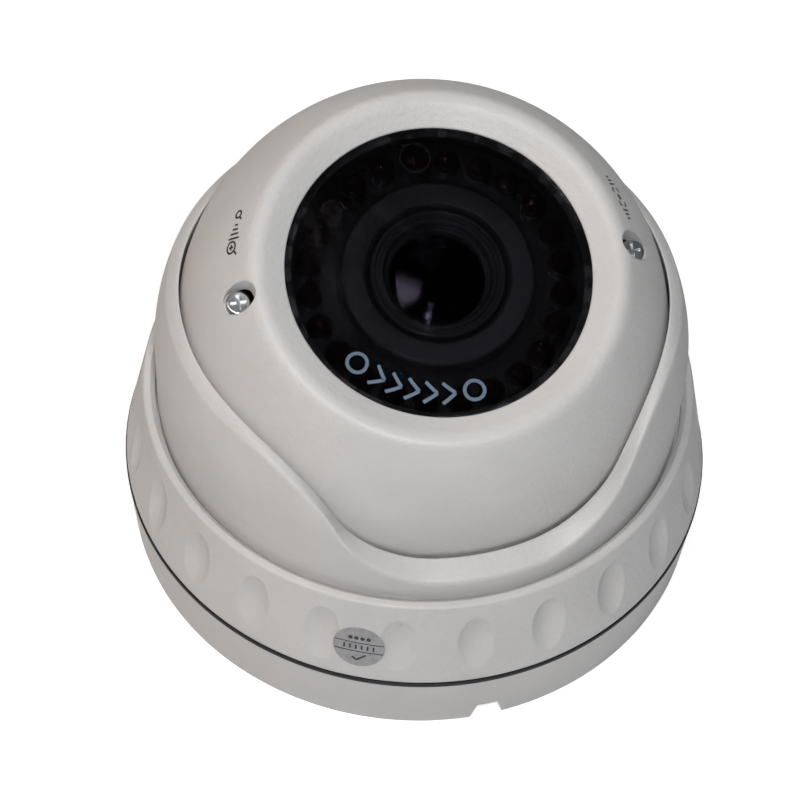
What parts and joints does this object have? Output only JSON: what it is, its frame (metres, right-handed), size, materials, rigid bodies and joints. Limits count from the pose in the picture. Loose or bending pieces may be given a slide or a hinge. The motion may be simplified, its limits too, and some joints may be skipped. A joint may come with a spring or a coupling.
{
  "type": "dome security camera",
  "caption": "Ball-in-collar dome camera: a tilting ball with dark window, lens and lamp ring, held in a dipped collar by a dimpled threaded ring on a round base.",
  "frame": {"origin": "centre of the base's flat mounting face", "axes": "+Z away from the ceiling or wall, through the base's centre; -Y towards the collar's dip, the side the ball can look out of"},
  "size_m": [0.12, 0.12, 0.0962],
  "materials": {
    "coated_metal": "fine-textured warm white powder coat",
    "clear_glass": "polished, tinted almost black",
    "film": "thin clear film with grey-blue printed marks",
    "black_rubber": "matt black",
    "shield_rubber": "matt dark grey foam rubber",
    "nylon": "natural nylon",
    "black_plastic": "fine-textured black",
    "lens_metal": "black anodised",
    "optic_glass": "coated optical glass, violet reflection",
    "green_board": "solder-masked glass fibre",
    "black_board": "black solder mask",
    "lamp_resin": "smoked clear epoxy",
    "sensor_ceramic": "dark ceramic package",
    "zinc_steel": "bright zinc plate",
    "sheet_steel": "galvanised sheet",
    "brass": "turned brass",
    "foil": "silver-grey printed foil",
    "filter_glass": "pale blue-green infrared filter",
    "cable_jacket": "white cable jacket"
  },
  "bodies": {
    "base": {"mount_base": "coated_metal", "ring_seal": "black_rubber"},
    "slip_washer": {"slip_washer": "nylon"},
    "lock_ring": {"lock_ring": "coated_metal", "inspection_label": "foil"},
    "collar": {"collar": "coated_metal", "ball_seat": "nylon"},
    "cable_tail": {"cable_tail": "cable_jacket"},
    "ball": {"ball_front": "coated_metal", "ball_rear": "coated_metal", "ball_seal": "black_rubber", "ball_screws": "zinc_steel", "front_glass": "clear_glass", "glass_gasket": "black_rubber", "protective_film": "film", "glass_retainer": "black_plastic", "retainer_screws": "zinc_steel", "light_shield": "shield_rubber", "lamp_board": "black_board", "infrared_lamps": "lamp_resin", "photocell": "lamp_resin", "lamp_board_stands": "brass", "lamp_board_screws": "zinc_steel", "chassis": "sheet_steel", "chassis_screws": "zinc_steel", "lens_barrel": "lens_metal", "lens_screws": "zinc_steel", "gear_spacer": "black_plastic", "gear_clip": "zinc_steel", "adjuster_bushes": "nylon", "adjuster_seals": "black_rubber", "filter_housing": "black_plastic", "image_sensor": "sensor_ceramic", "sensor_board": "green_board", "power_board": "green_board", "power_components": "black_plastic", "board_posts": "brass", "board_screws": "zinc_steel", "cable_gland": "black_plastic", "gland_nut": "black_plastic", "harness": "cable_jacket"},
    "zoom_ring": {"zoom_ring": "black_plastic"},
    "focus_ring": {"focus_ring": "black_plastic"},
    "zoom_adjuster": {"zoom_adjuster": "zinc_steel"},
    "focus_adjuster": {"focus_adjuster": "zinc_steel"},
    "zoom_group": {"zoom_cell": "lens_metal", "zoom_element": "optic_glass"},
    "focus_group": {"focus_cell": "lens_metal", "front_element": "optic_glass"},
    "night_filter": {"night_filter": "filter_glass"}
  },
  "joints": [
    {"name": "ring_lift", "type": "slide", "parent": "base", "child": "slip_washer", "axis": [0, 0, 1], "range_m": [0, 0.0031]},
    {"name": "ring_turn", "type": "hinge", "parent": "slip_washer", "child": "lock_ring", "pos_m": [0, 0, 0.0344], "axis": [0, 0, 1], "range_deg": [0, 720]},
    {"name": "pan", "type": "hinge", "parent": "base", "child": "collar", "pos_m": [0, 0, 0.0305], "axis": [0, 0, 1], "range_deg": [-177.5, 177.5]},
    {"name": "tilt", "type": "hinge", "parent": "collar", "child": "cable_tail", "pos_m": [0, 0, 0.0532], "axis": [0.9986, -0.0523, 0], "range_deg": [-19, 46]},
    {"name": "roll", "type": "hinge", "parent": "cable_tail", "child": "ball", "pos_m": [0, 0, 0.0532], "axis": [-0.017, -0.3251, 0.9455], "range_deg": [-177.5, 177.5]},
    {"name": "zoom_ring_turn", "type": "hinge", "parent": "ball", "child": "zoom_ring", "pos_m": [-0.00003, -0.00057, 0.05486], "axis": [-0.017, -0.3251, 0.9455], "range_deg": [-45, 45]},
    {"name": "zoom_adjuster_turn", "type": "hinge", "parent": "ball", "child": "zoom_adjuster", "pos_m": [-0.03798, 0.00142, 0.05486], "axis": [-0.017, -0.3251, 0.9455], "range_deg": [-312, 312]},
    {"name": "zoom_slide", "type": "slide", "parent": "ball", "child": "zoom_group", "axis": [-0.017, -0.3251, 0.9455], "range_m": [-0.003, 0.003]},
    {"name": "focus_ring_turn", "type": "hinge", "parent": "ball", "child": "focus_ring", "pos_m": [-0.00015, -0.00284, 0.06147], "axis": [-0.017, -0.3251, 0.9455], "range_deg": [-45, 45]},
    {"name": "focus_adjuster_turn", "type": "hinge", "parent": "ball", "child": "focus_adjuster", "pos_m": [0.0378, -0.00483, 0.06147], "axis": [-0.017, -0.3251, 0.9455], "range_deg": [-312, 312]},
    {"name": "focus_slide", "type": "slide", "parent": "ball", "child": "focus_group", "axis": [-0.017, -0.3251, 0.9455], "range_m": [-0.0008, 0.0008]},
    {"name": "filter_slide", "type": "slide", "parent": "ball", "child": "night_filter", "axis": [0.9986, -0.0523, 0], "range_m": [0, 0.01]}
  ],
  "couplings": [
    {"joint": "ring_lift", "follows": "ring_turn", "m_per_rad": 0.00023873},
    {"joint": "zoom_adjuster_turn", "follows": "zoom_ring_turn", "ratio": -6.9167},
    {"joint": "zoom_slide", "follows": "zoom_ring_turn", "m_per_rad": 0.003807},
    {"joint": "focus_adjuster_turn", "follows": "focus_ring_turn", "ratio": -6.9167},
    {"joint": "focus_slide", "follows": "focus_ring_turn", "m_per_rad": 0.0010059}
  ]
}
